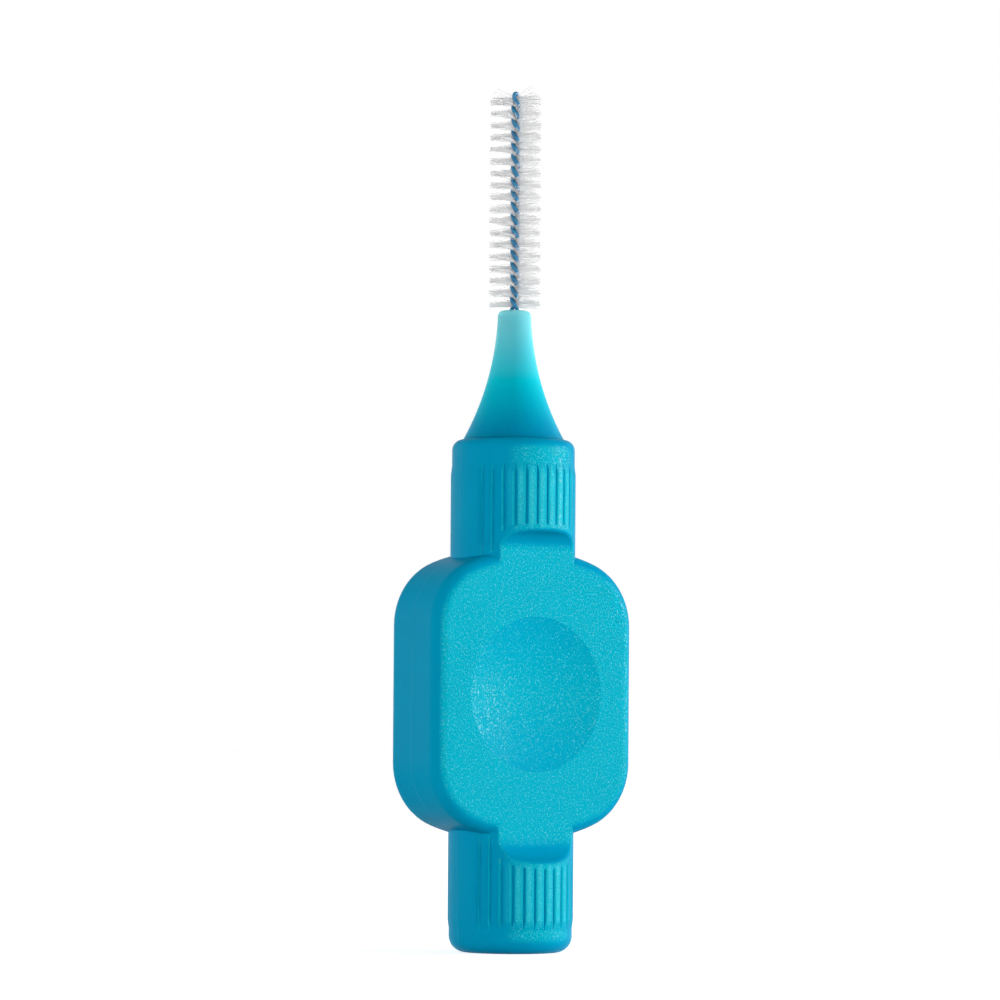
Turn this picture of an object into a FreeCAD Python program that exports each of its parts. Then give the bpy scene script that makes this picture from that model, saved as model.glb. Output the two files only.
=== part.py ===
import FreeCAD, Part
import math
import os

# Interdental brush: a rigid grip handle, a soft flared neck moulded into its top, and a brush head of nylon
# filaments held between the two legs of one folded, twisted and plastic coated wire.
# Millimetres and degrees. The brush axis is +Z, the flat foot end lies at z = 0 and the front of the grip
# faces -Y.

# Barrel of the handle
handle_length = 34.1
barrel_radius = 4.1
foot_rounding = 1.1
shoulder_rounding = 0.7
foot_band_height = 1.6
shoulder_band_height = 1.75
rib_stand = 0.07
rib_lead = 0.6
rib_groove_pitch_deg = 10.5
rib_grooves_each_way = 6
rib_groove_half_width = 0.2
rib_groove_depth = 0.09
rib_gap_to_flat = 0.2
rib_gap_to_plate = 0.1

# Grip plate
plate_width = 15.66
plate_height = 19.3
plate_thickness = 6.0
plate_rise = 0.065
plate_corner_radius = 4.5
plate_dome_radius = 13.9
plate_edge_rounding = 0.9

# Flats that carry the plate's faces into the barrel
flat_reach_up = 1.1
flat_reach_down = 1.43
flat_runout_up = 1.2
flat_runout_down = 1.65
flat_edge_rounding = 0.3

# Finger dish on both faces
dish_radius = 5.15
dish_depth = 0.65

# Flexible neck and its root in the handle
neck_height = 8.67
neck_tip_radius = 1.1
neck_ledge = 0.02
neck_flare_radius = 18.9
neck_tip_rounding = 0.37
neck_root_radius = 2.3
neck_root_depth = 5.2
lock_ring_stand = 0.5
lock_ring_height = 1.2
lock_ring_depth = 2.6
overmould_gap = 0.02

# Twisted wire
strand_radius = 0.14
coat_thickness = 0.025
coat_gap = 0.015
wire_reach = 14.76
wire_anchor_depth = 12.0
wire_bore_gap = 0.02
fold_run = 0.4
twist_mark_drop = 1.1
twist_mark_angle_deg = 147.0

# Bristle filaments, in rows that each take half a turn of the twisted wire
bristle_row_height = 0.8035
bristle_diameter = 3.5
filament_diameter = 0.07
filaments_per_row = 10
filament_sides = 6
filament_gap = 0.01
bare_wire_height = 0.25

# Overrun of every cutting tool past the surface that it cuts
cut_overrun = 2.0

# Places and sizes that follow from the values above
rib_radius = barrel_radius + rib_stand
half_thickness = plate_thickness / 2
plate_centre_height = handle_length / 2 + plate_rise
plate_top = plate_centre_height + plate_height / 2
plate_bottom = plate_centre_height - plate_height / 2
flat_top = plate_top + flat_reach_up - flat_runout_up
flat_bottom = plate_bottom - flat_reach_down + flat_runout_down
neck_base_radius = barrel_radius - shoulder_rounding - neck_ledge
neck_tip_height = handle_length + neck_height
lock_ring_radius = neck_root_radius + lock_ring_stand
twist_lead = 2 * bristle_row_height
coat_bore_radius = strand_radius - coat_thickness
core_radius = coat_bore_radius - coat_gap
strand_offset = strand_radius + filament_diameter / 2 + filament_gap
wire_envelope_radius = strand_offset + strand_radius
wire_bore_radius = wire_envelope_radius + wire_bore_gap
wire_end_height = handle_length - wire_anchor_depth
wire_tip_height = neck_tip_height + wire_reach
fold_height = wire_tip_height - strand_radius - strand_offset
untwist_height = fold_height - fold_run

UP = FreeCAD.Vector(0, 0, 1)
ORIGIN = FreeCAD.Vector(0, 0, 0)
FULL_TURN_DEG = 360
ARC_MIDDLE_SHARE = math.sqrt(0.5)


def point(x, y, z):
    return FreeCAD.Vector(x, y, z)


def line(start, end):
    return Part.LineSegment(start, end).toShape()


def arc(start, middle, end):
    return Part.Arc(start, middle, end).toShape()


def face_of(edges):
    return Part.Face(Part.Wire(edges))


def revolved(corners):
    """Turns a closed outline of straight edges, given as radius and height, about the brush axis."""
    places = [point(radius, 0, height) for radius, height in corners]
    outline = Part.makePolygon(places + places[:1])
    return Part.Face(outline).revolve(ORIGIN, UP, FULL_TURN_DEG)


def rounded_corner(centre_radius, centre_height, rounding, upward):
    """Quarter arc of an end rounding, from the flat end face out to the side wall."""
    way = 1 if upward else -1
    reach = rounding * ARC_MIDDLE_SHARE
    start = point(centre_radius, 0, centre_height + way * rounding)
    middle = point(centre_radius + reach, 0, centre_height + way * reach)
    end = point(centre_radius + rounding, 0, centre_height)
    return start, middle, end


def barrel():
    """Turned core of the handle: rounded ends, plain bands and, past a lead-in, the proud ribbed length."""
    foot = rounded_corner(barrel_radius - foot_rounding, foot_rounding, foot_rounding, False)
    shoulder = rounded_corner(
        barrel_radius - shoulder_rounding, handle_length - shoulder_rounding, shoulder_rounding, True)
    shoulder_band = handle_length - shoulder_band_height
    steps = [
        foot[2],
        point(barrel_radius, 0, foot_band_height),
        point(rib_radius, 0, foot_band_height + rib_lead),
        point(rib_radius, 0, shoulder_band - rib_lead),
        point(barrel_radius, 0, shoulder_band),
        shoulder[2],
    ]
    edges = [line(ORIGIN, foot[0]), arc(*foot)]
    edges += [line(steps[i], steps[i + 1]) for i in range(len(steps) - 1)]
    edges += [arc(shoulder[2], shoulder[1], shoulder[0]), line(shoulder[0], point(0, 0, handle_length))]
    edges += [line(point(0, 0, handle_length), ORIGIN)]
    return face_of(edges).revolve(ORIGIN, UP, FULL_TURN_DEG)


def flat_tool(side):
    """Cuts one flat into the barrel, level with the plate's face, with a hollow run-out at both ends."""
    depth = half_thickness
    far = rib_radius + cut_overrun
    up_share = flat_runout_up * ARC_MIDDLE_SHARE
    down_share = flat_runout_down * ARC_MIDDLE_SHARE
    up_turn = depth + flat_runout_up
    down_turn = depth + flat_runout_down
    x_start = -far

    def place(y, z):
        return point(x_start, side * y, z)

    edges = [
        line(place(depth, flat_bottom), place(depth, flat_top)),
        arc(place(depth, flat_top), place(up_turn - up_share, flat_top + up_share),
            place(up_turn, flat_top + flat_runout_up)),
        line(place(up_turn, flat_top + flat_runout_up), place(far, flat_top + flat_runout_up)),
        line(place(far, flat_top + flat_runout_up), place(far, flat_bottom - flat_runout_down)),
        line(place(far, flat_bottom - flat_runout_down), place(down_turn, flat_bottom - flat_runout_down)),
        arc(place(down_turn, flat_bottom - flat_runout_down),
            place(down_turn - down_share, flat_bottom - down_share), place(depth, flat_bottom)),
    ]
    return face_of(edges).extrude(point(2 * far, 0, 0))


def flattened_barrel():
    """Barrel with both flats, whose rims are softly rounded."""
    body = barrel()
    for side in (-1, 1):
        body = body.cut(flat_tool(side))
    rims = [edge for edge in body.Edges if is_flat_rim(edge)]
    return body.makeFillet(flat_edge_rounding, rims)


def is_flat_rim(edge):
    """True for an edge between a flat or its run-outs and the ribbed wall."""
    middle = edge.valueAt((edge.FirstParameter + edge.LastParameter) / 2)
    on_wall = abs(math.hypot(middle.x, middle.y) - rib_radius) < rib_stand / 2
    in_reach = flat_bottom - flat_runout_down < middle.z < flat_top + flat_runout_up
    seam = abs(middle.y) < half_thickness / 2
    return on_wall and in_reach and not seam


def plate_outline_height(x):
    """Height of the plate's domed end above its centre, at a distance x from the brush axis."""
    return plate_height / 2 - plate_dome_radius + math.sqrt(plate_dome_radius ** 2 - x ** 2)


def plate_outline(y):
    """Rounded square outline of the plate: straight sides, round corners and domed ends, all tangent."""
    half_width = plate_width / 2
    dome_centre = plate_height / 2 - plate_dome_radius
    corner_x = half_width - plate_corner_radius
    corner_z = dome_centre + math.sqrt((plate_dome_radius - plate_corner_radius) ** 2 - corner_x ** 2)
    tangent_angle = math.atan2(corner_z - dome_centre, corner_x)
    middle_angle = tangent_angle / 2
    tangent_x = corner_x + plate_corner_radius * math.cos(tangent_angle)
    tangent_z = corner_z + plate_corner_radius * math.sin(tangent_angle)
    middle_x = corner_x + plate_corner_radius * math.cos(middle_angle)
    middle_z = corner_z + plate_corner_radius * math.sin(middle_angle)

    def place(x, z):
        return point(x, y, plate_centre_height + z)

    apex = plate_height / 2
    return [
        line(place(half_width, -corner_z), place(half_width, corner_z)),
        arc(place(half_width, corner_z), place(middle_x, middle_z), place(tangent_x, tangent_z)),
        arc(place(tangent_x, tangent_z), place(0, apex), place(-tangent_x, tangent_z)),
        arc(place(-tangent_x, tangent_z), place(-middle_x, middle_z), place(-half_width, corner_z)),
        line(place(-half_width, corner_z), place(-half_width, -corner_z)),
        arc(place(-half_width, -corner_z), place(-middle_x, -middle_z), place(-tangent_x, -tangent_z)),
        arc(place(-tangent_x, -tangent_z), place(0, -apex), place(tangent_x, -tangent_z)),
        arc(place(tangent_x, -tangent_z), place(middle_x, -middle_z), place(half_width, -corner_z)),
    ]


def grip_plate():
    """Flat grip with rounded rims."""
    plate = face_of(plate_outline(-half_thickness)).extrude(point(0, plate_thickness, 0))
    rims = [edge for edge in plate.Edges if edge.BoundBox.YLength < edge.Length / 2]
    return plate.makeFillet(plate_edge_rounding, rims)


def dish_tool(side):
    """Large ball that hollows one face of the plate by a shallow cap."""
    ball_radius = (dish_radius ** 2 + dish_depth ** 2) / (2 * dish_depth)
    centre = point(0, side * (half_thickness - dish_depth + ball_radius), plate_centre_height)
    return Part.makeSphere(ball_radius, centre)


def rib_groove(angle_deg, low, high):
    """One upright groove between two ribs, with rounded shoulders, as a cutting tool."""
    half_angle = math.asin(rib_groove_half_width / rib_radius)
    valley_radius = rib_radius - rib_groove_depth
    across = valley_radius * math.sin(half_angle)
    drop = rib_radius - valley_radius * math.cos(half_angle)
    shoulder_radius = (across ** 2 + drop ** 2) / (2 * drop)
    swing = math.asin(across / shoulder_radius) / 2
    centre_angle = math.radians(angle_deg)

    def place(radius, angle):
        return point(radius * math.cos(centre_angle + angle), radius * math.sin(centre_angle + angle), low)

    def shoulder_middle(way):
        """Point halfway along the rounded shoulder on one side of the groove."""
        start_angle = centre_angle + way * half_angle
        turn = start_angle - way * swing
        middle_radius = rib_radius - shoulder_radius
        x = middle_radius * math.cos(start_angle) + shoulder_radius * math.cos(turn)
        y = middle_radius * math.sin(start_angle) + shoulder_radius * math.sin(turn)
        return point(x, y, low)

    far = rib_radius + cut_overrun
    edges = [
        arc(place(rib_radius, -half_angle), shoulder_middle(-1), place(valley_radius, 0)),
        arc(place(valley_radius, 0), shoulder_middle(1), place(rib_radius, half_angle)),
        line(place(rib_radius, half_angle), place(far, half_angle)),
        line(place(far, half_angle), place(far, -half_angle)),
        line(place(far, -half_angle), place(rib_radius, -half_angle)),
    ]
    return face_of(edges).extrude(point(0, 0, high - low))


def flat_rise(turn_deg, runout):
    """How far the hollow run-out of a flat rises along the wall, at an angle from the front."""
    depth = rib_radius * math.cos(math.radians(turn_deg)) - half_thickness
    if depth <= 0:
        return None
    return math.sqrt(max(runout ** 2 - (runout - min(depth, runout)) ** 2, 0))


def rib_grooves():
    """All rib grooves of both barrels, front and back, each stopping short of the flats and the plate."""
    tools = []
    half_angle_deg = math.degrees(math.asin(rib_groove_half_width / rib_radius))
    rim_gap = flat_edge_rounding + rib_gap_to_flat
    for step in range(-rib_grooves_each_way, rib_grooves_each_way + 1):
        turn = step * rib_groove_pitch_deg
        inner_turn = max(abs(turn) - half_angle_deg, 0)
        ends = plate_outline_height(rib_radius * math.sin(math.radians(turn))) + rib_gap_to_plate
        low_end = plate_centre_height - ends
        high_end = plate_centre_height + ends
        rise_up = flat_rise(inner_turn, flat_runout_up)
        if rise_up is not None:
            high_end = max(high_end, flat_top + rise_up + rim_gap)
            low_end = min(low_end, flat_bottom - flat_rise(inner_turn, flat_runout_down) - rim_gap)
        for front_deg in (-90, 90):
            tools.append(rib_groove(front_deg + turn, high_end, handle_length - shoulder_band_height))
            tools.append(rib_groove(front_deg + turn, foot_band_height, low_end))
    return Part.Compound(tools)


def neck_root_outline(gap):
    """Root of the neck below the shoulder, as radius and height, grown by a gap for its socket."""
    ring_top = handle_length - lock_ring_depth
    ring_bottom = ring_top - lock_ring_height
    bottom = handle_length - neck_root_depth
    return [
        (0, bottom - gap),
        (neck_root_radius + gap, bottom - gap),
        (neck_root_radius + gap, ring_bottom - gap),
        (lock_ring_radius + gap, ring_bottom - gap),
        (lock_ring_radius + gap, ring_top + gap),
        (neck_root_radius + gap, ring_top + gap),
        (neck_root_radius + gap, handle_length),
        (0, handle_length),
    ]


def wire_bore(low, high):
    return Part.makeCylinder(wire_bore_radius, high - low, point(0, 0, low))


def grip_handle():
    handle = flattened_barrel().fuse(grip_plate()).removeSplitter()
    handle = handle.cut(rib_grooves())
    handle = handle.cut(Part.Compound([dish_tool(-1), dish_tool(1)]))
    handle = handle.cut(revolved(neck_root_outline(overmould_gap)))
    return handle.cut(wire_bore(wire_end_height, handle_length))


def neck_flare():
    """Point halfway along the hollow flare of the neck, from its base to its tip."""
    base = point(neck_base_radius, 0, handle_length)
    tip = point(neck_tip_radius, 0, neck_tip_height)
    chord = tip - base
    sag = neck_flare_radius - math.sqrt(neck_flare_radius ** 2 - (chord.Length / 2) ** 2)
    inward = point(-chord.z, 0, chord.x).normalize()
    return base, (base + tip) / 2 + inward * sag, tip


def flex_neck():
    base, middle, tip = neck_flare()
    top = point(0, 0, neck_tip_height)
    edges = [
        line(point(0, 0, handle_length), base), arc(base, middle, tip), line(tip, top),
        line(top, point(0, 0, handle_length)),
    ]
    cone = face_of(edges).revolve(ORIGIN, UP, FULL_TURN_DEG)
    near_tip = [edge for edge in cone.Edges if edge.BoundBox.ZMin > neck_tip_height - neck_tip_rounding]
    rim = [edge for edge in near_tip if edge.BoundBox.XLength > neck_tip_radius]
    cone = cone.makeFillet(neck_tip_rounding, rim)
    neck = cone.fuse(revolved(neck_root_outline(0))).removeSplitter()
    return neck.cut(wire_bore(handle_length - neck_root_depth, neck_tip_height))


def twist_angle(height):
    """Angle of the first leg of the wire at a height. The twist runs out just below the fold."""
    turn_rate = -2 * math.pi / twist_lead
    mark = wire_tip_height - twist_mark_drop
    regular = min(height, untwist_height)
    angle = math.radians(twist_mark_angle_deg) + turn_rate * (regular - mark)
    past = height - regular
    return angle + turn_rate * (past - past ** 2 / (2 * fold_run))


def twist_rate(height):
    past = max(height - untwist_height, 0)
    return -2 * math.pi / twist_lead * (1 - past / fold_run)


def leg_point(height, leg):
    angle = twist_angle(height) + leg * math.pi
    return point(strand_offset * math.cos(angle), strand_offset * math.sin(angle), height)


def leg_direction(height, leg):
    angle = twist_angle(height) + leg * math.pi
    side = strand_offset * twist_rate(height)
    return point(-side * math.sin(angle), side * math.cos(angle), 1).normalize()


def tangent_arc(start, direction, end):
    """Arc from start to end that leaves start along a direction."""
    chord = end - start
    along = FreeCAD.Vector(chord).normalize()
    off = direction - along * direction.dot(along)
    half_turn = math.atan2(off.Length, direction.dot(along))
    bulge = chord.Length / 2 * math.tan(half_turn / 2)
    return arc(start, (start + end) / 2 + off.normalize() * bulge, end)


def biarc(start, start_direction, end, end_direction):
    """Two tangent arcs that join two points with given directions."""
    span = end - start
    both = start_direction + end_direction
    spread = 1 - start_direction.dot(end_direction)
    forward = span.dot(both)
    reach = span.dot(span) / (forward + math.sqrt(forward ** 2 + 2 * spread * span.dot(span)))
    joint = (start + end + (start_direction - end_direction) * reach) / 2
    return [tangent_arc(start, start_direction, joint), tangent_arc(end, -end_direction, joint)]


def wire_path():
    """Centre line of the whole wire: up one leg, over the fold at the tip and down the other leg."""
    quarters = math.ceil((untwist_height - wire_end_height) / (twist_lead / 4))
    step = (untwist_height - wire_end_height) / quarters
    heights = [wire_end_height + step * i for i in range(quarters + 1)] + [fold_height]
    legs = []
    for leg in (0, 1):
        edges = []
        for low, high in zip(heights, heights[1:]):
            edges += biarc(
                leg_point(low, leg), leg_direction(low, leg), leg_point(high, leg), leg_direction(high, leg))
        legs.append(edges)
    fold = arc(leg_point(fold_height, 0), point(0, 0, fold_height + strand_offset), leg_point(fold_height, 1))
    return Part.Wire(legs[0] + [fold] + legs[1][::-1])


def swept_wire(path, radius):
    """Round bar along the wire's centre line."""
    start = leg_point(wire_end_height, 0)
    ring = Part.Wire(Part.makeCircle(radius, start, leg_direction(wire_end_height, 0)))
    return path.makePipeShell([ring], True, False)


def filament(height):
    """One straight filament that crosses the axis square to the two legs beside it."""
    angle = twist_angle(height) + math.pi / 2
    along = point(math.cos(angle), math.sin(angle), 0)
    across = point(-math.sin(angle), math.cos(angle), 0)
    radius = filament_diameter / 2
    start = point(0, 0, height) - along * (bristle_diameter / 2)
    corners = []
    for side in range(filament_sides):
        turn = 2 * math.pi * side / filament_sides
        corners.append(start + across * (radius * math.cos(turn)) + UP * (radius * math.sin(turn)))
    return Part.Face(Part.makePolygon(corners + corners[:1])).extrude(along * bristle_diameter)


def bristle_rows():
    """Filaments from the fold down to the bare wire above the neck, grouped by half turns of the twist."""
    pitch = bristle_row_height / filaments_per_row
    lowest = neck_tip_height + bare_wire_height
    count = int((fold_height - lowest) / pitch)
    heights = [fold_height - pitch * (i + 1) for i in range(count)]
    return [heights[i:i + filaments_per_row] for i in range(0, count, filaments_per_row)]


def write(name, shape):
    shape.exportStep("parts/" + name + ".step")
    volume = sum(solid.Volume for solid in shape.Solids)
    print(name, "solids", len(shape.Solids), "valid", shape.isValid(), "volume mm3", round(volume, 4))


os.makedirs("parts", exist_ok=True)
write("grip_handle", grip_handle())
write("flex_neck", flex_neck())
centre_line = wire_path()
core = swept_wire(centre_line, core_radius)
write("wire_core", core)
print("core volume by section", round(math.pi * core_radius ** 2 * centre_line.Length, 4))
write("wire_coat", swept_wire(centre_line, strand_radius).cut(swept_wire(centre_line, coat_bore_radius)))
for number, heights in enumerate(bristle_rows(), start=1):
    write(f"bristle_row_{number:02d}", Part.Compound([filament(height) for height in heights]))
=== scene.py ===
"""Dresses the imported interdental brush: satin handle, soft neck, coated wire and nylon bristles."""

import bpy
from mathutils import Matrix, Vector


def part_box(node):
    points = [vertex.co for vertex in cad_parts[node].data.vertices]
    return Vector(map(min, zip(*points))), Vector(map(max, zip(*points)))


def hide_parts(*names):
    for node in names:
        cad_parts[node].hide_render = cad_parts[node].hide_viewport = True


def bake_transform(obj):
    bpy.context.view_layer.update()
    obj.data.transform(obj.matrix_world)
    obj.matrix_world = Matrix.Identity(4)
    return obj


bl_info = {
    "name": "Interdental Brush",
    "version": (1, 0, 0),
    "blender": (4, 5, 0),
    "location": "3D View > Sidebar > Brush",
    "description": "Gives the packed brush its materials, neck, twisted wire, bristles and a white stage",
    "category": "Object",
}

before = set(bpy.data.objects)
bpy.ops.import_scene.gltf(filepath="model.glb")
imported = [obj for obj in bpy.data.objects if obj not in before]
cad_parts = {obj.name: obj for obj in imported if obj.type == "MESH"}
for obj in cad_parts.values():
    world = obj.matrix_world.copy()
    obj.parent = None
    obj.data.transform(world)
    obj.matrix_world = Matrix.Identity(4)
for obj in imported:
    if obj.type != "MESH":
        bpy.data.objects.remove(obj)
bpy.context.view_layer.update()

import math

import bmesh
import bpy
from bpy.props import FloatProperty, FloatVectorProperty, IntProperty, PointerProperty
from mathutils import Matrix, Vector

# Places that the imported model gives
shoulder_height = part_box("grip_handle")[1].z
neck_root_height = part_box("flex_neck")[0].z
neck_tip_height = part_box("flex_neck")[1].z
neck_base_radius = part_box("flex_neck")[1].x
wire_end_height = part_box("wire_coat")[0].z
wire_tip_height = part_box("wire_coat")[1].z
bristle_nodes = sorted(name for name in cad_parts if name.startswith("bristle_row"))


def length(name, description, default):
    """A size in metres."""
    return FloatProperty(name=name, description=description, default=default, unit="LENGTH", precision=6)


def angle(name, description, degrees):
    """An angle, whose default is given in degrees."""
    return FloatProperty(name=name, description=description, default=math.radians(degrees), subtype="ANGLE")


def share(name, description, default):
    """A plain number from nought to one."""
    return FloatProperty(name=name, description=description, default=default, min=0, max=1, subtype="FACTOR")


def colour(name, description, default):
    """A linear colour."""
    return FloatVectorProperty(
        name=name, description=description, default=default, min=0, max=1, size=3, subtype="COLOR")


def amount(name, description, default):
    """A number from nought up that has no unit."""
    return FloatProperty(name=name, description=description, default=default, min=0)


def count(name, description, default):
    """A whole number above nought."""
    return IntProperty(name=name, description=description, default=default, min=1)


class HandleSettings(bpy.types.PropertyGroup):
    # Smooth and frosted colours: partly the plastic's own smooth or spark eroded look, partly painted light,
    # the frosted colour a lit copy and the smooth colour a shaded copy of one plastic. The two turns and the
    # tilt below place that painted light.
    smooth: colour("Smooth colour", "Colour of the walls that the mould leaves smooth", (0.0, 0.285, 0.475))
    frosted: colour("Frosted colour", "Colour of the faces that the mould texture frosts", (0.0, 0.41, 0.54))
    # Painted glint colour, which the grain tips and the frosted rib crests take on.
    glint: colour("Glint colour", "Colour of the finest tips of the mould texture", (0.02, 0.50, 0.61))
    smooth_turn: angle("Smooth turn", "Turn from the mould's pull at which the texture is gone", 42)
    frosted_turn: angle("Frosted turn", "Turn from the mould's pull up to which the texture is full", 14)
    smooth_tilt: angle("Smooth tilt", "Tilt up or down at which the texture has faded out", 26)
    grain: length("Grain", "Width of one pit of the spark eroded mould texture", 0.00012)
    grain_depth: length("Grain depth", "Depth of the mould texture", 0.00009)
    grain_share: share("Grain share", "How far the texture moves the colour", 0.5)
    fine_ratio: amount("Fine ratio", "How many of the finest pits lie across one pit", 2.3)
    fine_share: share("Fine share", "Share of the finest pits in the texture", 0.4)
    smooth_grain: share("Smooth grain", "Share of the texture that is left on the smooth walls", 0.12)
    glint_start: share("Glint start", "Height in the texture at which a glint starts", 0.53)
    glint_range: share("Glint range", "Height in the texture over which a glint grows full", 0.14)
    cloud: length("Cloud", "Width of the faint clouds in the plastic", 0.004)
    cloud_share: share("Cloud share", "How far a cloud moves the colour", 0.25)
    rib_pitch: angle("Rib pitch", "Turn from one rib to the next", 10.5)
    rib_span: angle("Rib span", "Turn from the front or back at which the ribs end", 68.25)
    rib_start: length("Rib start", "Distance from the handle's middle at which the ribs start", 0.0096)
    rib_end: length("Rib end", "Distance from the handle's middle at which the ribs end", 0.0153)
    rib_fade: length("Rib fade", "Length over which the ribs' ends fade", 0.0005)
    flat_turn: angle("Flat turn", "Turn from the front or back up to which the flat shortens the ribs", 47)
    flat_end: length("Flat end", "Distance from the handle's middle at which the flats end", 0.0110)
    rib_bed: length("Rib bed", "Distance from the brush axis at which the ribs begin", 0.00406)
    rib_bed_fade: length("Rib bed fade", "Distance over which the ribs begin", 0.00002)
    rib_round: share("Rib rounding", "Height of the ribs' rounding beside the depth of the texture", 0.28)
    # Painted highlight on the frosted rib crests.
    rib_painted_highlight: share("Rib paleness", "How far the frosted crests take on the glint colour", 1.0)
    # Painted shade in the smooth valleys between ribs: the colour they darken towards and how far.
    valley: colour("Valley colour", "Colour deep in the valleys between ribs", (0.0, 0.2, 0.38))
    valley_shade: share("Valley shade", "How far a smooth valley takes on that colour", 0.5)
    valley_share: share("Valley share", "Share of the texture that a valley between ribs lacks", 0.08)
    parting_width: length("Parting width", "Half width of the fine mould line round the side walls", 0.00007)
    parting_share: share("Parting share", "Height of the mould line beside the depth of the texture", 0.25)
    roughness: share("Roughness", "Roughness of the smooth walls", 0.36)
    frost_roughness: share("Frost roughness", "Roughness that the frosting adds", 0.1)
    grain_roughness: share("Grain roughness", "Roughness by which the texture varies", 0.2)
    gloss: share("Gloss", "Mirror share of the plastic below its glints", 0.01)
    gloss_tint: colour("Gloss tint", "Colour of that mirror share", (0.2, 0.9, 1.0))
    glint_roughness: share("Glint roughness", "Roughness of the glints", 0.3)
    glow_share: share("Glow share", "Share of the light that spreads inside the plastic", 0.1)
    glow_depth: length("Glow depth", "Distance that light spreads inside the plastic", 0.0006)


class NeckSettings(bpy.types.PropertyGroup):
    tip_radius: length("Tip radius", "Radius of the neck where the wire leaves it", 0.0011)
    flare: length("Flare radius", "Radius of the hollow sweep from the tip to the base", 0.0189)
    tip_rounding: length("Tip rounding", "Rounding of the rim at the tip", 0.00037)
    root_radius: length("Root radius", "Radius of the root in the handle", 0.0023)
    ring_radius: length("Ring radius", "Radius of the locking ring on the root", 0.0028)
    ring_drop: length("Ring drop", "Depth of the locking ring below the shoulder", 0.0026)
    ring_height: length("Ring height", "Height of the locking ring", 0.0012)
    bore_radius: length("Bore radius", "Radius of the hole for the wire", 0.000345)
    seat_gap: length("Seat gap", "Clearance between the flange and the shoulder", 0.000005)
    bend_low: length("Bend low", "Height at which the neck starts to bend", 0.036)
    bend_high: length("Bend high", "Height at which the neck stops bending", 0.0423)
    # Tip colour: the pale thin elastomer together with a painted sheen in its whitish tint.
    tip_tint_and_painted_sheen: colour("Tip colour", "Colour where the elastomer is thin and pale", (0.18, 0.54, 0.60))
    middle_colour: colour("Middle colour", "Colour halfway down the flare", (0.0, 0.47, 0.57))
    # Base colour: the deep thick elastomer together with painted shade where the flare faces up.
    base_tint_and_painted_shade: colour("Base colour", "Colour where the elastomer is thick and deep", (0.0, 0.22, 0.40))
    middle_share: share("Middle share", "Height of the middle colour between the base and the tip", 0.45)
    cloud: length("Cloud", "Width of the faint clouds in the elastomer", 0.0015)
    cloud_share: share("Cloud share", "How far a cloud moves the colour", 0.05)
    ripple: length("Ripple", "Width of the fine ripples of the skin", 0.0003)
    ripple_depth: length("Ripple depth", "Depth of the ripples", 0.000004)
    ripple_strength: share("Ripple strength", "Strength with which the ripples show", 0.4)
    roughness: share("Roughness", "Roughness of the skin", 0.34)
    ripple_roughness: share("Ripple roughness", "Roughness that the ripples add", 0.12)
    gloss: share("Gloss", "Mirror share of the skin", 0.02)
    gloss_tint: colour("Gloss tint", "Colour of that mirror share", (0.2, 0.9, 1.0))
    glow_depth: length("Glow depth", "Distance that light spreads inside the elastomer", 0.0015)


class WireSettings(bpy.types.PropertyGroup):
    strand_radius: length("Strand radius", "Radius of one coated leg of the wire", 0.00014)
    strand_offset: length("Strand offset", "Distance of each leg from the brush axis", 0.000185)
    lead: length("Lead", "Length of one full turn of the twist", 0.001607)
    fold_run: length("Fold run", "Length over which the twist runs out below the fold", 0.0004)
    mark_drop: length("Mark drop", "Distance below the tip at which the twist angle is set", 0.0011)
    mark_angle: angle("Mark angle", "Angle of the first leg at the mark", 147)
    parting_height: length("Parting height", "Height in the neck at which the wire is split to bend", 0.0424)
    bend_low: length("Bend low", "Height at which the bare wire starts to bend", 0.0427)
    bend_high: length("Bend high", "Height at which the wire stops bending", 0.0449)
    steps_per_turn: count("Steps per turn", "Points along one turn of the twist", 28)
    fold_steps: count("Fold steps", "Points round the fold at the tip", 14)
    sides: count("Sides", "Sides of the round wire", 16)
    coat: colour("Coat colour", "Colour of the plastic coat", (0.0, 0.09, 0.24))
    thin_coat: colour("Thin coat colour", "Colour where the coat is thin", (0.02, 0.25, 0.44))
    patch: length("Patch", "Width of the thin patches of the coat", 0.0004)
    dent: length("Dent", "Width of the fine dents in the coat", 0.00012)
    dent_depth: length("Dent depth", "Depth of the dents", 0.000004)
    dent_strength: share("Dent strength", "Strength with which the dents show", 0.3)
    roughness: share("Roughness", "Roughness of the coat", 0.16)
    dent_roughness: share("Dent roughness", "Roughness that the dents add", 0.1)
    gloss: share("Gloss", "Mirror share of the coat", 0.5)


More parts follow.
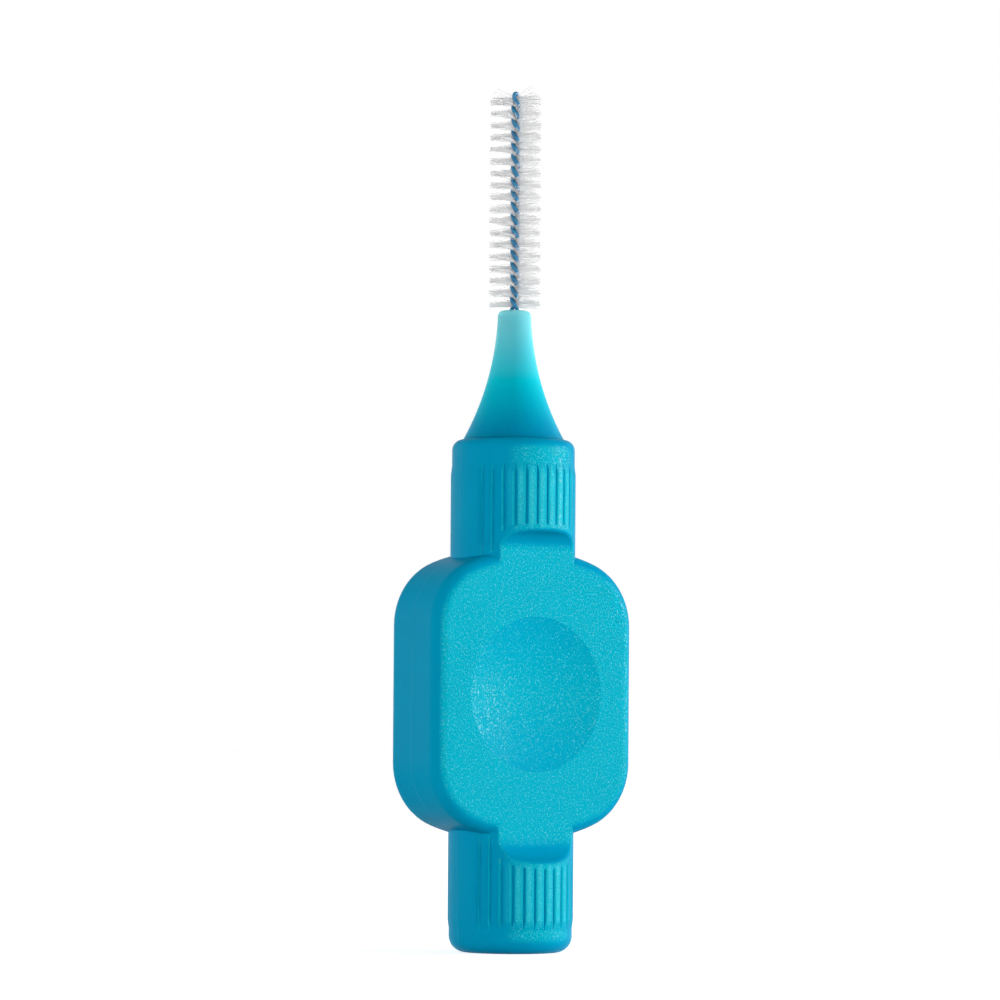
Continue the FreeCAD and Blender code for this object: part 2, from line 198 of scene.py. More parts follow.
class BristleSettings(bpy.types.PropertyGroup):
    diameter: length("Diameter", "Diameter of the brush head over the filament tips", 0.0035)
    thickness: length("Thickness", "Diameter of one filament", 0.00004)
    row_height: length("Row height", "Height of one row, which is half a turn of the twist", 0.0008035)
    per_row: count("Filaments per row", "Filaments in one row", 84)
    bare_height: length("Bare height", "Bare wire between the neck and the first filament", 0.00025)
    bow: length("Bow", "How far the middle of a filament stands off a straight line", 0.00006)
    turn_spread: angle("Turn spread", "How far a filament may turn out of its place in the fan", 22)
    tilt_spread: angle("Tilt spread", "How far a filament may tilt up or down", 8)
    trim_share: share("Trim share", "How much shorter than the full length a filament may be", 0.05)
    splay: angle("Splay", "How far the filaments at the fold lean up", 20)
    splayed: count("Splayed filaments", "Filaments below the fold that lean up", 8)
    splay_fade: amount("Splay fade", "How fast the lean fades below the fold", 1.5)
    steps: count("Steps", "Straight lengths along one filament", 3)
    sides: count("Sides", "Sides of one filament", 5)
    seed: count("Seed", "Number that fixes the random lean of the filaments", 7)
    nylon: colour("Nylon colour", "Colour of the filaments", (0.97, 0.97, 0.97))
    # Painted shade: greyer nylon close to the wire, where the filaments crowd together.
    painted_root_shade: colour("Root colour", "Colour of the filaments close to the wire", (0.93, 0.94, 0.95))
    cover: share("Cover", "How much of the background one clear filament hides", 0.38)
    root_fade: amount("Root fade", "How soon the root colour gives way towards the tips", 1.4)
    streak: length("Streak", "Width of the faint streaks in the nylon", 0.0006)
    streak_share: share("Streak share", "How far a streak moves the colour", 0.3)
    roughness: share("Roughness", "Roughness of the nylon", 0.36)
    streak_roughness: share("Streak roughness", "Roughness that the streaks add", 0.2)
    gloss: share("Gloss", "Mirror share of the nylon", 0.4)


class StageSettings(bpy.types.PropertyGroup):
    distance: length("Camera distance", "Distance from the camera to the brush axis", 0.32)
    frame_height: length("Frame height", "Height of the picture at the brush axis", 0.0668)
    centre_height: length("Centre height", "Height of the brush at the middle of the picture", 0.03009)
    side_offset: length("Side offset", "Distance of the brush axis right of the picture's middle", 0.00088)
    azimuth: angle("Azimuth", "Turn of the camera from the front to the right", -33)
    rise: angle("Rise", "Height of the camera above the horizon", -2.7)
    roll: angle("Roll", "Lean of the brush to the right in the picture", 0.41)
    key_azimuth: angle("Key azimuth", "Turn of the main light from the front to the right", 63)
    key_rise: angle("Key rise", "Height of the main light above the horizon", 8)
    key_distance: length("Key distance", "Distance of the main light", 0.45)
    key_size: length("Key size", "Width of the main light", 0.22)
    key_power: FloatProperty(
        name="Key power", description="Power of the main light", default=1.45, unit="POWER")
    side_light: amount("Side light", "Strength of the soft light from the sides", 5.1)
    top_light: amount("Top light", "Strength of the soft light from above", 0.1)
    ring_top: share("Ring top", "Rise at which the light from the sides has faded out", 0.35)
    ring_fade: share("Ring fade", "Rise over which the light from the sides fades", 0.3)
    floor: colour("Floor colour", "Colour of the pale floor", (0.80, 0.80, 0.80))
    floor_glow: share("Floor glow", "White that the camera sees on the floor on top of its own colour", 0.75)
    floor_size: length("Floor size", "Width of the floor", 4.0)


class Value:
    """A number on a socket. Sums and products of it add Math nodes to its tree."""

    def __init__(self, graph, socket):
        self.graph = graph
        self.socket = socket

    def math(self, operation, *others):
        return self.graph.maths(operation, self, *others)

    def __add__(self, other):
        return self.math("ADD", other)

    def __radd__(self, other):
        return self.graph.maths("ADD", other, self)

    def __sub__(self, other):
        return self.math("SUBTRACT", other)

    def __rsub__(self, other):
        return self.graph.maths("SUBTRACT", other, self)

    def __mul__(self, other):
        return self.math("MULTIPLY", other)

    def __rmul__(self, other):
        return self.graph.maths("MULTIPLY", other, self)

    def __truediv__(self, other):
        return self.math("DIVIDE", other)

    def __rtruediv__(self, other):
        return self.graph.maths("DIVIDE", other, self)

    def __mod__(self, other):
        return self.math("MODULO", other)

    def __pow__(self, other):
        return self.math("POWER", other)

    def __neg__(self):
        return self.math("MULTIPLY", -1)

    def __abs__(self):
        return self.math("ABSOLUTE")

    def __lt__(self, other):
        return self.math("LESS_THAN", other)

    def __gt__(self, other):
        return self.math("GREATER_THAN", other)

    def least(self, other):
        return self.math("MINIMUM", other)

    def most(self, other):
        return self.math("MAXIMUM", other)

    def clamped(self):
        return self.least(1).most(0)

    def eased(self):
        return self * self * (3 - self * 2)

    def floor(self):
        return self.math("FLOOR")

    def cosine(self):
        return self.math("COSINE")

    def sine(self):
        return self.math("SINE")


class Graph:
    """Adds nodes to one node tree."""

    def __init__(self, tree):
        self.tree = tree

    def add(self, kind, settings=None, sockets=None, output=0):
        """Adds a node, sets it up, fills or links its inputs and returns one of its outputs."""
        node = self.tree.nodes.new(kind)
        for name, setting in (settings or {}).items():
            if name == "stops":
                self.set_stops(node.color_ramp, setting)
            else:
                setattr(node, name, setting)
        for key, content in (sockets or {}).items():
            if isinstance(content, Value):
                self.tree.links.new(content.socket, node.inputs[key])
            else:
                node.inputs[key].default_value = content
        return Value(self, node.outputs[output]) if node.outputs else node

    def set_stops(self, ramp, stops):
        while len(ramp.elements) < len(stops):
            ramp.elements.new(1)
        for element, (place, tint) in zip(ramp.elements, stops):
            element.position = place
            element.color = (*tint, 1)

    def maths(self, operation, *terms):
        return self.add("ShaderNodeMath", {"operation": operation}, dict(enumerate(terms)))

    def vector(self, x, y, z):
        return self.add("ShaderNodeCombineXYZ", None, {"X": x, "Y": y, "Z": z})

    def blend(self, factor, first, second):
        """A colour between two others."""
        return self.add(
            "ShaderNodeMix", {"data_type": "RGBA"}, {0: factor, 6: first, 7: second}, output=2)

    def noise(self, place, size, detail=2):
        """Noise from nought to one, whose waves have a given size in metres."""
        return self.add("ShaderNodeTexNoise", None, {"Vector": place, "Scale": 1 / size, "Detail": detail})

    def random(self, low, high, seed):
        """A random number for each point, fixed by a seed."""
        return self.add(
            "FunctionNodeRandomValue", {"data_type": "FLOAT"}, {2: low, 3: high, "Seed": seed}, output=1)


# Mean of a noise, and how far red, green and blue light spread in the handle's and the neck's plastic
NOISE_MIDDLE = 0.5
GLOW_SHARES = (0.3, 0.8, 1.0)
SOFT_GLOW_SHARES = (0.5, 1.0, 1.0)


def solid(tint):
    """A colour with its alpha."""
    return (*tint, 1)


def material_graph(name):
    """A new material without nodes. Returns it, its graph and the place on the object."""
    material = bpy.data.materials.new(name)
    material.use_nodes = True
    material.node_tree.nodes.clear()
    graph = Graph(material.node_tree)
    place = graph.add("ShaderNodeTexCoord", output="Object")
    return material, graph, place


def finish_surface(graph, sockets):
    """Adds the Principled shader with these sockets, and the output."""
    shader = graph.add("ShaderNodeBsdfPrincipled", None, sockets)
    graph.add("ShaderNodeOutputMaterial", None, {"Surface": shader})


def rib_pattern(graph, settings, x, y, z):
    """One where the barrels are ribbed, and a wave that is nought in each valley and one on each crest."""
    radius = (x * x + y * y) ** 0.5
    turn = graph.maths("ARCTAN2", x, abs(y))
    from_middle = abs(z - shoulder_height / 2)
    start = settings.rib_start + (abs(turn) < settings.flat_turn) * (settings.flat_end - settings.rib_start)
    ribbed = ((from_middle - start) / settings.rib_fade).clamped()
    ribbed = ribbed * ((settings.rib_end - from_middle) / settings.rib_fade).clamped()
    ribbed = ribbed * ((radius - settings.rib_bed) / settings.rib_bed_fade).clamped()
    ribbed = ribbed * (abs(turn) < settings.rib_span)
    ridge = (1 - (turn * (2 * math.pi / settings.rib_pitch)).cosine()) / 2
    return ribbed, ridge


def mould_frost_and_painted_light(graph, settings):
    """How much of the mould texture a face has, by its turn from the mould's pull along Y and its tilt. The
    same mask paints light: faces towards the front or back take the paler frosted colour, and faces that
    tilt up or down keep the darker smooth colour as painted shade.
    """
    normal = graph.add("ShaderNodeTexCoord", output="Normal")
    facing = abs(graph.add("ShaderNodeSeparateXYZ", None, {"Vector": normal}, output="Y"))
    tilt = abs(graph.add("ShaderNodeSeparateXYZ", None, {"Vector": normal}, output="Z"))
    least_facing = math.cos(settings.smooth_turn)
    full_facing = math.cos(settings.frosted_turn)
    turned = ((facing - least_facing) / (full_facing - least_facing)).clamped().eased()
    # Painted shade: faces that tilt up or down lose the paler frosted colour.
    level = (1 - tilt / math.sin(settings.smooth_tilt)).clamped()
    return turned * level


def handle_material(settings):
    """Moulded plastic, frosted where it faces the mould's pull, with painted glints on its grain tips and
    rib crests, painted shade in its smooth rib valleys, and colours that are partly painted light: paler
    where it faces front or back, darker where it tilts up or down.
    """
    material, graph, place = material_graph("satin_handle_plastic")
    x = graph.add("ShaderNodeSeparateXYZ", None, {"Vector": place}, output="X")
    y = graph.add("ShaderNodeSeparateXYZ", None, {"Vector": place}, output="Y")
    z = graph.add("ShaderNodeSeparateXYZ", None, {"Vector": place}, output="Z")
    ribbed, ridge = rib_pattern(graph, settings, x, y, z)
    valley = ribbed * (1 - ridge)
    frost_and_painted_light = mould_frost_and_painted_light(graph, settings)
    crest = frost_and_painted_light * (1 - ribbed * (1 - ridge * ridge))
    frost_and_painted_light = frost_and_painted_light * (1 - valley * settings.valley_share)
    coarse = graph.noise(place, settings.grain, detail=1)
    fine = graph.noise(place, settings.grain / settings.fine_ratio, detail=1)
    grain = coarse * (1 - settings.fine_share) + fine * settings.fine_share
    cloud = graph.noise(place, settings.cloud)
    # Grain tips on frosted crests: they set the coat's real glints and also painted glints in the colour.
    tip = ((grain - settings.glint_start) / settings.glint_range).clamped() * crest
    # Paleness: the frosted texture's own lighter tone together with painted light on faces towards the front
    # or back.
    paleness = frost_and_painted_light + (cloud - NOISE_MIDDLE) * settings.cloud_share
    paleness = paleness + (grain - NOISE_MIDDLE) * settings.grain_share * frost_and_painted_light
    base = graph.blend(paleness.clamped(), solid(settings.smooth), solid(settings.frosted))
    # Painted shade: smooth valleys between ribs darken towards the valley colour.
    base = graph.blend(valley * settings.valley_shade * (1 - frost_and_painted_light), base, solid(settings.valley))
    # Painted highlights: frosted rib crests and grain tips take on the glint colour.
    painted_crest_highlight = ribbed * ridge * frost_and_painted_light * settings.rib_painted_highlight
    base = graph.blend((tip + painted_crest_highlight).clamped(), base, solid(settings.glint))
    parting = (1 - abs(y) / settings.parting_width).clamped()
    pitted = settings.smooth_grain + frost_and_painted_light * (1 - settings.smooth_grain)
    height = (grain - NOISE_MIDDLE) * pitted + parting * settings.parting_share
    height = height + ridge * ribbed * settings.rib_round
    bump = graph.add(
        "ShaderNodeBump", None, {"Strength": 1.0, "Distance": settings.grain_depth, "Height": height})
    roughness = settings.roughness + frost_and_painted_light * settings.frost_roughness
    roughness = roughness + (grain - NOISE_MIDDLE) * settings.grain_roughness
    finish_surface(graph, {
        "Base Color": base,
        "Roughness": roughness,
        "Normal": bump,
        "Specular IOR Level": settings.gloss,
        "Specular Tint": solid(settings.gloss_tint),
        "Coat Weight": tip,
        "Coat Roughness": settings.glint_roughness,
        "Subsurface Weight": settings.glow_share,
        "Subsurface Radius": GLOW_SHARES,
        "Subsurface Scale": settings.glow_depth,
    })
    return material


def neck_material(settings):
    """Soft elastomer that light spreads in, pale where it is thin at the tip and deep at the thick base. The
    pale whitish tip also holds a painted sheen, and the deep base painted shade where the flare faces up.
    """
    material, graph, place = material_graph("soft_neck_elastomer")
    z = graph.add("ShaderNodeSeparateXYZ", None, {"Vector": place}, output="Z")
    rise = (z - shoulder_height) / (neck_tip_height - shoulder_height)
    cloud = graph.noise(place, settings.cloud)
    stops = [
        (0.0, settings.base_tint_and_painted_shade),
        (settings.middle_share, settings.middle_colour),
        (1.0, settings.tip_tint_and_painted_sheen),
    ]
    clouded = rise + (cloud - NOISE_MIDDLE) * settings.cloud_share
    base = graph.add("ShaderNodeValToRGB", {"stops": stops}, {"Fac": clouded})
    ripple = graph.noise(place, settings.ripple)
    bump = graph.add("ShaderNodeBump", None, {
        "Strength": settings.ripple_strength, "Distance": settings.ripple_depth, "Height": ripple})
    finish_surface(graph, {
        "Base Color": base,
        "Roughness": settings.roughness + ripple * settings.ripple_roughness,
        "Normal": bump,
        "Specular IOR Level": settings.gloss,
        "Specular Tint": solid(settings.gloss_tint),
        "Subsurface Weight": 1.0,
        "Subsurface Radius": SOFT_GLOW_SHARES,
        "Subsurface Scale": settings.glow_depth,
    })
    return material


def wire_material(settings):
    """Glossy blue plastic coat on the wire, a little thinner and paler in places."""
    material, graph, place = material_graph("blue_wire_coat")
    patch = graph.noise(place, settings.patch)
    base = graph.blend(patch, solid(settings.coat), solid(settings.thin_coat))
    dent = graph.noise(place, settings.dent)
    bump = graph.add("ShaderNodeBump", None, {
        "Strength": settings.dent_strength, "Distance": settings.dent_depth, "Height": dent})
    finish_surface(graph, {
        "Base Color": base,
        "Roughness": settings.roughness + dent * settings.dent_roughness,
        "Normal": bump,
        "Specular IOR Level": settings.gloss,
    })
    return material


def bristle_material(settings):
    """Clear whitish nylon, with painted shade that makes it a little greyer close to the wire, where the
    filaments crowd together.
    """
    material, graph, place = material_graph("white_nylon")
    x = graph.add("ShaderNodeSeparateXYZ", None, {"Vector": place}, output="X")
    y = graph.add("ShaderNodeSeparateXYZ", None, {"Vector": place}, output="Y")
    radius = (x * x + y * y) ** 0.5
    reach = (radius / (settings.diameter / 2)).clamped()
    streak = graph.noise(place, settings.streak)
    # Painted shade fades from the wire out towards the tips.
    tint = (reach * settings.root_fade + (streak - NOISE_MIDDLE) * settings.streak_share).clamped()
    base = graph.blend(tint, solid(settings.painted_root_shade), solid(settings.nylon))
    finish_surface(graph, {
        "Base Color": base,
        "Roughness": settings.roughness + streak * settings.streak_roughness,
        "Specular IOR Level": settings.gloss,
        "Alpha": settings.cover,
    })
    return material


def linked(name, mesh):
    """A new object for a finished mesh."""
    piece = bpy.data.objects.new(name, mesh)
    bpy.context.scene.collection.objects.link(piece)
    return piece


def geometry_graph(name, sizes):
    """A new Geometry Nodes tree with a named input for each size. Returns its graph and its inputs."""
    tree = bpy.data.node_groups.new(name, "GeometryNodeTree")
    tree.interface.new_socket("Geometry", in_out="OUTPUT", socket_type="NodeSocketGeometry")
    for label, number in sizes.items():
        kind = "NodeSocketInt" if isinstance(number, int) else "NodeSocketFloat"
        tree.interface.new_socket(label, in_out="INPUT", socket_type=kind)
    graph = Graph(tree)
    entry = tree.nodes.new("NodeGroupInput")
    inputs = {label: Value(graph, entry.outputs[label]) for label in sizes}
    return graph, inputs


def finish_geometry(graph, shape, material):
    """Ends the tree with real geometry that shades smoothly and has its material."""
    shape = graph.add("GeometryNodeSetShadeSmooth", None, {"Geometry": shape})
    shape = graph.add("GeometryNodeRealizeInstances", None, {"Geometry": shape})
    shape = graph.add("GeometryNodeSetMaterial", None, {"Geometry": shape, "Material": material})
    graph.add("NodeGroupOutput", None, {"Geometry": shape})


def made_by_nodes(name, tree, sizes):
    """Runs a Geometry Nodes tree with these sizes and returns a plain mesh object."""
    carrier = linked(name + "_carrier", bpy.data.meshes.new(name + "_carrier"))
    modifier = carrier.modifiers.new("nodes", "NODES")
    modifier.node_group = tree
    for item in tree.interface.items_tree:
        if item.in_out == "INPUT":
            modifier[item.identifier] = sizes[item.name]
    evaluated = carrier.evaluated_get(bpy.context.evaluated_depsgraph_get())
    mesh = bpy.data.meshes.new_from_object(evaluated)
    carrier.modifiers.remove(modifier)
    bpy.data.objects.remove(carrier)
    if not mesh.polygons:
        raise RuntimeError(f"the nodes of {name} made no faces")
    mesh.name = name
    return linked(name, mesh)


def twist_sizes(wire):
    """The sizes that fix the twist of the wire, which the wire and the bristles share."""
    fold_height = wire_tip_height - wire.strand_radius - wire.strand_offset
    return {
        "Lead": wire.lead,
        "Fold Height": fold_height,
        "Fold Run": wire.fold_run,
        "Mark Height": wire_tip_height - wire.mark_drop,
        "Mark Angle": wire.mark_angle,
    }


def twist_angle(inputs, height):
    """Angle of the first leg at a height. The twist is left handed and runs out just below the fold."""
    untwist = inputs["Fold Height"] - inputs["Fold Run"]
    past = (height - untwist).most(0)
    turned = height.least(untwist) - inputs["Mark Height"] + past - past * past / (2 * inputs["Fold Run"])
    return inputs["Mark Angle"] - 2 * math.pi * turned / inputs["Lead"]


def wire_tree(sizes, material):
    """Two twisted legs of one wire, joined by a fold at the top or left open."""
    graph, inputs = geometry_graph("twisted_wire", sizes)
    steps = inputs["Leg Steps"]
    fold_steps = inputs["Fold Steps"]
    last = steps * 2 + fold_steps
    index = graph.add("GeometryNodeInputIndex")
    climb = index.least(last - index).least(steps) / steps
    height = inputs["Low"] + (inputs["High"] - inputs["Low"]) * climb
    over = ((index - steps) / fold_steps).clamped() * math.pi
    turn = twist_angle(inputs, height)
    reach = inputs["Strand Offset"] * over.cosine()
    rise = inputs["Strand Offset"] * over.sine()
    place = graph.vector(reach * turn.cosine(), reach * turn.sine(), height + rise)
    path = graph.add("GeometryNodeMeshLine", None, {"Count": last + 1})
    path = graph.add("GeometryNodeSetPosition", None, {"Geometry": path, "Position": place})
    at_fold = (index > steps - 0.5) * (index < steps + fold_steps - 0.5)
    path = graph.add(
        "GeometryNodeDeleteGeometry", {"domain": "EDGE", "mode": "EDGE_FACE"},
        {"Geometry": path, "Selection": at_fold * (1 - inputs["Folded"])})
    path = graph.add("GeometryNodeMeshToCurve", None, {"Mesh": path})
    ring = graph.add(
        "GeometryNodeCurvePrimitiveCircle", None,
        {"Resolution": inputs["Sides"], "Radius": inputs["Strand Radius"]})
    shape = graph.add(
        "GeometryNodeCurveToMesh", None, {"Curve": path, "Profile Curve": ring, "Fill Caps": True})
    finish_geometry(graph, shape, material)
    return graph.tree


def bristle_tree(sizes, material):
    """Filaments that stand out on both sides of the wire, each square to the two legs beside it."""
    graph, inputs = geometry_graph("bristle_fan", sizes)
    index = graph.add("GeometryNodeInputIndex")
    side = index % 2
    number = (index / 2).floor()
    seed = inputs["Seed"]
    height = inputs["Top"] - inputs["Pitch"] * (number + 1)
    lean = graph.random(-0.5, 0.5, seed) + graph.random(-0.5, 0.5, seed + 1)
    turn = twist_angle(inputs, height) + math.pi * (side + 0.5) + lean * inputs["Turn Spread"]
    splay = (1 - number / inputs["Splayed"]).clamped() ** inputs["Splay Fade"] * inputs["Splay"]
    droop = graph.random(-0.5, 0.5, seed + 2) + graph.random(-0.5, 0.5, seed + 3)
    tilt = droop * inputs["Tilt Spread"] + splay
    roll = graph.random(0.0, 2 * math.pi, seed + 4)
    trim = 1 - graph.random(0.0, 1.0, seed + 5) * inputs["Trim Share"]
    spots = graph.add(
        "GeometryNodePoints", None, {"Count": inputs["Count"] * 2, "Position": graph.vector(0, 0, height)})
    half = inputs["Diameter"] / 2
    line = graph.add(
        "GeometryNodeCurveQuadraticBezier", None,
        {"Resolution": inputs["Steps"], "Start": (0, 0, 0),
         "Middle": graph.vector(half / 2, 0, inputs["Bow"] * 2), "End": graph.vector(half, 0, 0)})
    ring = graph.add(
        "GeometryNodeCurvePrimitiveCircle", None,
        {"Resolution": inputs["Sides"], "Radius": inputs["Thickness"] / 2})
    filament = graph.add(
        "GeometryNodeCurveToMesh", None, {"Curve": line, "Profile Curve": ring, "Fill Caps": True})
    rotation = graph.add("FunctionNodeEulerToRotation", None, {"Euler": graph.vector(roll, -tilt, turn)})
    shape = graph.add(
        "GeometryNodeInstanceOnPoints", None,
        {"Points": spots, "Instance": filament, "Rotation": rotation, "Scale": graph.vector(trim, 1, 1)})
    finish_geometry(graph, shape, material)
    return graph.tree


class BRUSH_OT_handle(bpy.types.Operator):
    """Gives the handle its satin plastic"""
    bl_idname = "brush.handle"
    bl_label = "Dress the handle"

    def execute(self, context):
        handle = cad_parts["grip_handle"]
        handle.data.materials.clear()
        handle.data.materials.append(handle_material(context.scene.brush_handle))
        return {"FINISHED"}


class BRUSH_OT_neck(bpy.types.Operator):
    """Turns the soft flared neck with its root in the handle"""
    bl_idname = "brush.neck"
    bl_label = "Make the neck"

    SHARP_EDGE_DEG = 40
    SEGMENTS = 120
    FLARE_STEPS = 40
    ROUNDING_STEPS = 10
    BORE_STEPS = 60

    def outline(self, neck):
        """Radius and height of each point round one half of the cut neck."""
        base = Vector((neck_base_radius, shoulder_height))
        tip = Vector((neck.tip_radius, neck_tip_height))
        chord = tip - base
        outward = Vector((chord.y, -chord.x)).normalized()
        centre = (base + tip) / 2 + outward * math.sqrt(neck.flare ** 2 - chord.length_squared / 4)
        round_height = neck_tip_height - neck.tip_rounding
        points = []
        for step in range(self.FLARE_STEPS + 1):
            height = shoulder_height + (round_height - shoulder_height) * step / self.FLARE_STEPS
            radius = centre.x - math.sqrt(neck.flare ** 2 - (height - centre.y) ** 2)
            points.append((radius, max(height, shoulder_height + neck.seat_gap)))
        round_radius = points[-1][0] - neck.tip_rounding
        for step in range(1, self.ROUNDING_STEPS + 1):
            turn = math.pi / 2 * step / self.ROUNDING_STEPS
            points.append((
                round_radius + neck.tip_rounding * math.cos(turn),
                round_height + neck.tip_rounding * math.sin(turn)))
        ring_top = shoulder_height - neck.ring_drop
        ring_bottom = ring_top - neck.ring_height
        for step in range(self.BORE_STEPS + 1):
            height = neck_tip_height + (neck_root_height - neck_tip_height) * step / self.BORE_STEPS
            points.append((neck.bore_radius, height))
        points += [
            (neck.root_radius, neck_root_height),
            (neck.root_radius, ring_bottom),
            (neck.ring_radius, ring_bottom),
            (neck.ring_radius, ring_top),
            (neck.root_radius, ring_top),
            (neck.root_radius, shoulder_height + neck.seat_gap),
        ]
        return points

    def execute(self, context):
        neck = context.scene.brush_neck
        outline = self.outline(neck)
        shape = bmesh.new()
        rings = []
        for step in range(self.SEGMENTS):
            turn = 2 * math.pi * step / self.SEGMENTS
            rings.append([
                shape.verts.new((radius * math.cos(turn), radius * math.sin(turn), height))
                for radius, height in outline])
        for step, ring in enumerate(rings):
            following = rings[(step + 1) % self.SEGMENTS]
            for spot in range(len(outline)):
                after = (spot + 1) % len(outline)
                shape.faces.new((ring[spot], following[spot], following[after], ring[after]))
        bmesh.ops.recalc_face_normals(shape, faces=shape.faces)
        mesh = bpy.data.meshes.new("neck")
        shape.to_mesh(mesh)
        shape.free()
        mesh.shade_smooth()
        mesh.set_sharp_from_angle(angle=math.radians(self.SHARP_EDGE_DEG))
        mesh.materials.append(neck_material(neck))
        piece = linked("neck", mesh)
        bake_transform(piece)
        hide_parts("flex_neck")
        return {"FINISHED"}


class BRUSH_OT_wire(bpy.types.Operator):
    """Makes the twisted wire, its root in the neck and its folded head"""
    bl_idname = "brush.wire"
    bl_label = "Make the wire"

    def execute(self, context):
        wire = context.scene.brush_wire
        twist = twist_sizes(wire)
        shared = {
            **twist,
            "Strand Radius": wire.strand_radius,
            "Strand Offset": wire.strand_offset,
            "Sides": wire.sides,
        }
        head_sizes = {
            **shared,
            "Low": wire.parting_height,
            "High": twist["Fold Height"],
            "Leg Steps": self.leg_steps(wire, wire.parting_height, twist["Fold Height"]),
            "Fold Steps": wire.fold_steps,
            "Folded": 1,
        }
        root_sizes = {
            **shared,
            "Low": wire_end_height + wire.strand_radius,
            "High": wire.parting_height,
            "Leg Steps": self.leg_steps(wire, wire_end_height, wire.parting_height),
            "Fold Steps": 1,
            "Folded": 0,
        }
        tree = wire_tree(head_sizes, wire_material(wire))
        head = made_by_nodes("wire_head", tree, head_sizes)
        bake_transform(head)
        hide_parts("wire_core", "wire_coat")
        root = made_by_nodes("wire_root", tree, root_sizes)
        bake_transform(root)
        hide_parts("wire_core", "wire_coat")
        return {"FINISHED"}

    def leg_steps(self, wire, low, high):
        """Steps along one leg of the wire between two heights."""
        return math.ceil((high - low) / wire.lead * wire.steps_per_turn)


class BRUSH_OT_bristles(bpy.types.Operator):
    """Makes the nylon bristles of the brush head"""
    bl_idname = "brush.bristles"
    bl_label = "Make the bristles"

    def execute(self, context):
        wire = context.scene.brush_wire
        bristle = context.scene.brush_bristles
        twist = twist_sizes(wire)
        pitch = bristle.row_height / bristle.per_row
        lowest = neck_tip_height + bristle.bare_height
        sizes = {
            **twist,
            "Top": twist["Fold Height"],
            "Pitch": pitch,
            "Count": int((twist["Fold Height"] - lowest) / pitch),
            "Diameter": bristle.diameter,
            "Thickness": bristle.thickness,
            "Bow": bristle.bow,
            "Turn Spread": bristle.turn_spread,
            "Tilt Spread": bristle.tilt_spread,
            "Trim Share": bristle.trim_share,
            "Splay": bristle.splay,
            "Splayed": float(bristle.splayed),
            "Splay Fade": bristle.splay_fade,
            "Steps": bristle.steps,
            "Sides": bristle.sides,
            "Seed": bristle.seed,
        }
        tree = bristle_tree(sizes, bristle_material(bristle))
        piece = made_by_nodes("bristles", tree, sizes)
        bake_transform(piece)
        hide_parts(*bristle_nodes)
        return {"FINISHED"}


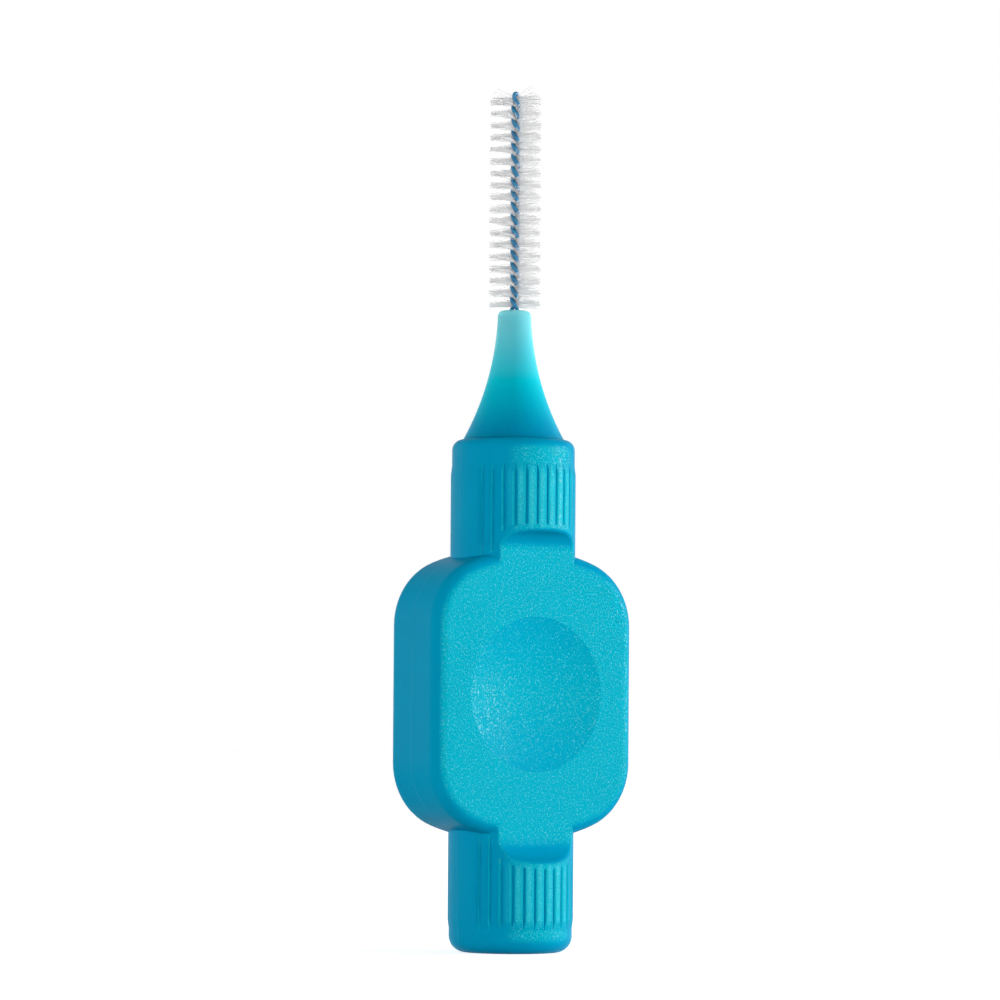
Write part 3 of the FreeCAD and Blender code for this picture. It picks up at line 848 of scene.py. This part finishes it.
class BRUSH_OT_stage(bpy.types.Operator):
    """Sets up the white floor, the soft studio light and the camera"""
    bl_idname = "brush.stage"
    bl_label = "Set the stage"

    SENSOR_MM = 36
    NEAREST = 0.01

    def seen_directly(self, graph):
        """One for rays from the camera, from glossy surfaces and through clear ones."""
        camera = graph.add("ShaderNodeLightPath", output="Is Camera Ray")
        glossy = graph.add("ShaderNodeLightPath", output="Is Glossy Ray")
        through = graph.add("ShaderNodeLightPath", output="Is Transmission Ray")
        return camera.most(glossy).most(through)

    def make_world(self, stage):
        """White behind the brush, and soft light that is strongest from the sides."""
        world = bpy.data.worlds.new("studio")
        world.use_nodes = True
        world.node_tree.nodes.clear()
        graph = Graph(world.node_tree)
        way = graph.add("ShaderNodeTexCoord", output="Generated")
        rise = graph.add("ShaderNodeSeparateXYZ", None, {"Vector": way}, output="Z")
        ring = ((stage.ring_top - rise) / stage.ring_fade).clamped()
        strength = stage.top_light + ring * (stage.side_light - stage.top_light)
        soft = graph.add("ShaderNodeBackground", None, {"Color": (1, 1, 1, 1), "Strength": strength})
        white = graph.add("ShaderNodeBackground", None, {"Color": (1, 1, 1, 1), "Strength": 1.0})
        mixed = graph.add("ShaderNodeMixShader", None, {0: self.seen_directly(graph), 1: soft, 2: white})
        graph.add("ShaderNodeOutputWorld", None, {"Surface": mixed})
        return world

    def make_floor(self, stage):
        """Pale floor that looks white and still takes the shadow of the brush."""
        material = bpy.data.materials.new("pale_floor")
        material.use_nodes = True
        material.node_tree.nodes.clear()
        graph = Graph(material.node_tree)
        pale = graph.add("ShaderNodeBsdfDiffuse", None, {"Color": solid(stage.floor)})
        glow = graph.add("ShaderNodeEmission", None, {"Color": (1, 1, 1, 1), "Strength": stage.floor_glow})
        bright = graph.add("ShaderNodeAddShader", None, {0: pale, 1: glow})
        mixed = graph.add("ShaderNodeMixShader", None, {0: self.seen_directly(graph), 1: pale, 2: bright})
        graph.add("ShaderNodeOutputMaterial", None, {"Surface": mixed})
        reach = stage.floor_size / 2
        mesh = bpy.data.meshes.new("floor")
        corners = [(-reach, -reach, 0), (reach, -reach, 0), (reach, reach, 0), (-reach, reach, 0)]
        mesh.from_pydata(corners, [], [(0, 1, 2, 3)])
        mesh.materials.append(material)
        linked("floor", mesh)

    def direction(self, azimuth, rise):
        """From the brush towards a place round it."""
        flat = math.cos(rise)
        return Vector((math.sin(azimuth) * flat, -math.cos(azimuth) * flat, math.sin(rise)))

    def make_key(self, stage, target):
        """Soft main light from the right."""
        way = self.direction(stage.key_azimuth, stage.key_rise)
        lamp = bpy.data.lights.new("key", "AREA")
        lamp.energy = stage.key_power
        lamp.size = stage.key_size
        light = linked("key", lamp)
        light.location = target + way * stage.key_distance
        light.rotation_euler = way.to_track_quat("Z", "Y").to_euler()

    def make_camera(self, stage, target):
        """Near camera at the viewing angle of the picture, a little below the picture's middle."""
        back = self.direction(stage.azimuth, stage.rise)
        right = Vector((0, 0, 1)).cross(back).normalized()
        up = back.cross(right)
        leaning_right = right * math.cos(stage.roll) + up * math.sin(stage.roll)
        leaning_up = up * math.cos(stage.roll) - right * math.sin(stage.roll)
        lens = bpy.data.cameras.new("camera")
        lens.sensor_width = self.SENSOR_MM
        lens.lens = self.SENSOR_MM * stage.distance / stage.frame_height
        lens.clip_start = self.NEAREST
        camera = linked("camera", lens)
        turn = Matrix((leaning_right, leaning_up, back)).transposed().to_4x4()
        place = target - right * stage.side_offset + back * stage.distance
        camera.matrix_world = Matrix.Translation(place) @ turn
        return camera

    def execute(self, context):
        scene = context.scene
        stage = scene.brush_stage
        target = Vector((0, 0, stage.centre_height))
        scene.world = self.make_world(stage)
        self.make_floor(stage)
        self.make_key(stage, target)
        scene.camera = self.make_camera(stage, target)
        scene.view_settings.view_transform = "Standard"
        return {"FINISHED"}


class BRUSH_PT_panel(bpy.types.Panel):
    """Lists the steps that dress the brush"""
    bl_idname = "BRUSH_PT_panel"
    bl_label = "Interdental Brush"
    bl_space_type = "VIEW_3D"
    bl_region_type = "UI"
    bl_category = "Brush"

    def draw(self, context):
        for step in operators:
            self.layout.operator(step.bl_idname)


settings_groups = {
    "brush_handle": HandleSettings,
    "brush_neck": NeckSettings,
    "brush_wire": WireSettings,
    "brush_bristles": BristleSettings,
    "brush_stage": StageSettings,
}
operators = (BRUSH_OT_handle, BRUSH_OT_neck, BRUSH_OT_wire, BRUSH_OT_bristles, BRUSH_OT_stage)


def register():
    for group in settings_groups.values():
        bpy.utils.register_class(group)
    for step in operators:
        bpy.utils.register_class(step)
    bpy.utils.register_class(BRUSH_PT_panel)
    for name, group in settings_groups.items():
        setattr(bpy.types.Scene, name, PointerProperty(type=group))


def unregister():
    for name in settings_groups:
        delattr(bpy.types.Scene, name)
    bpy.utils.unregister_class(BRUSH_PT_panel)
    for step in reversed(operators):
        bpy.utils.unregister_class(step)
    for group in reversed(settings_groups.values()):
        bpy.utils.unregister_class(group)


def main():
    register()
    bpy.ops.brush.handle()
    bpy.ops.brush.neck()
    bpy.ops.brush.wire()
    bpy.ops.brush.bristles()
    bpy.ops.brush.stage()


if __name__ == "__main__":
    main()
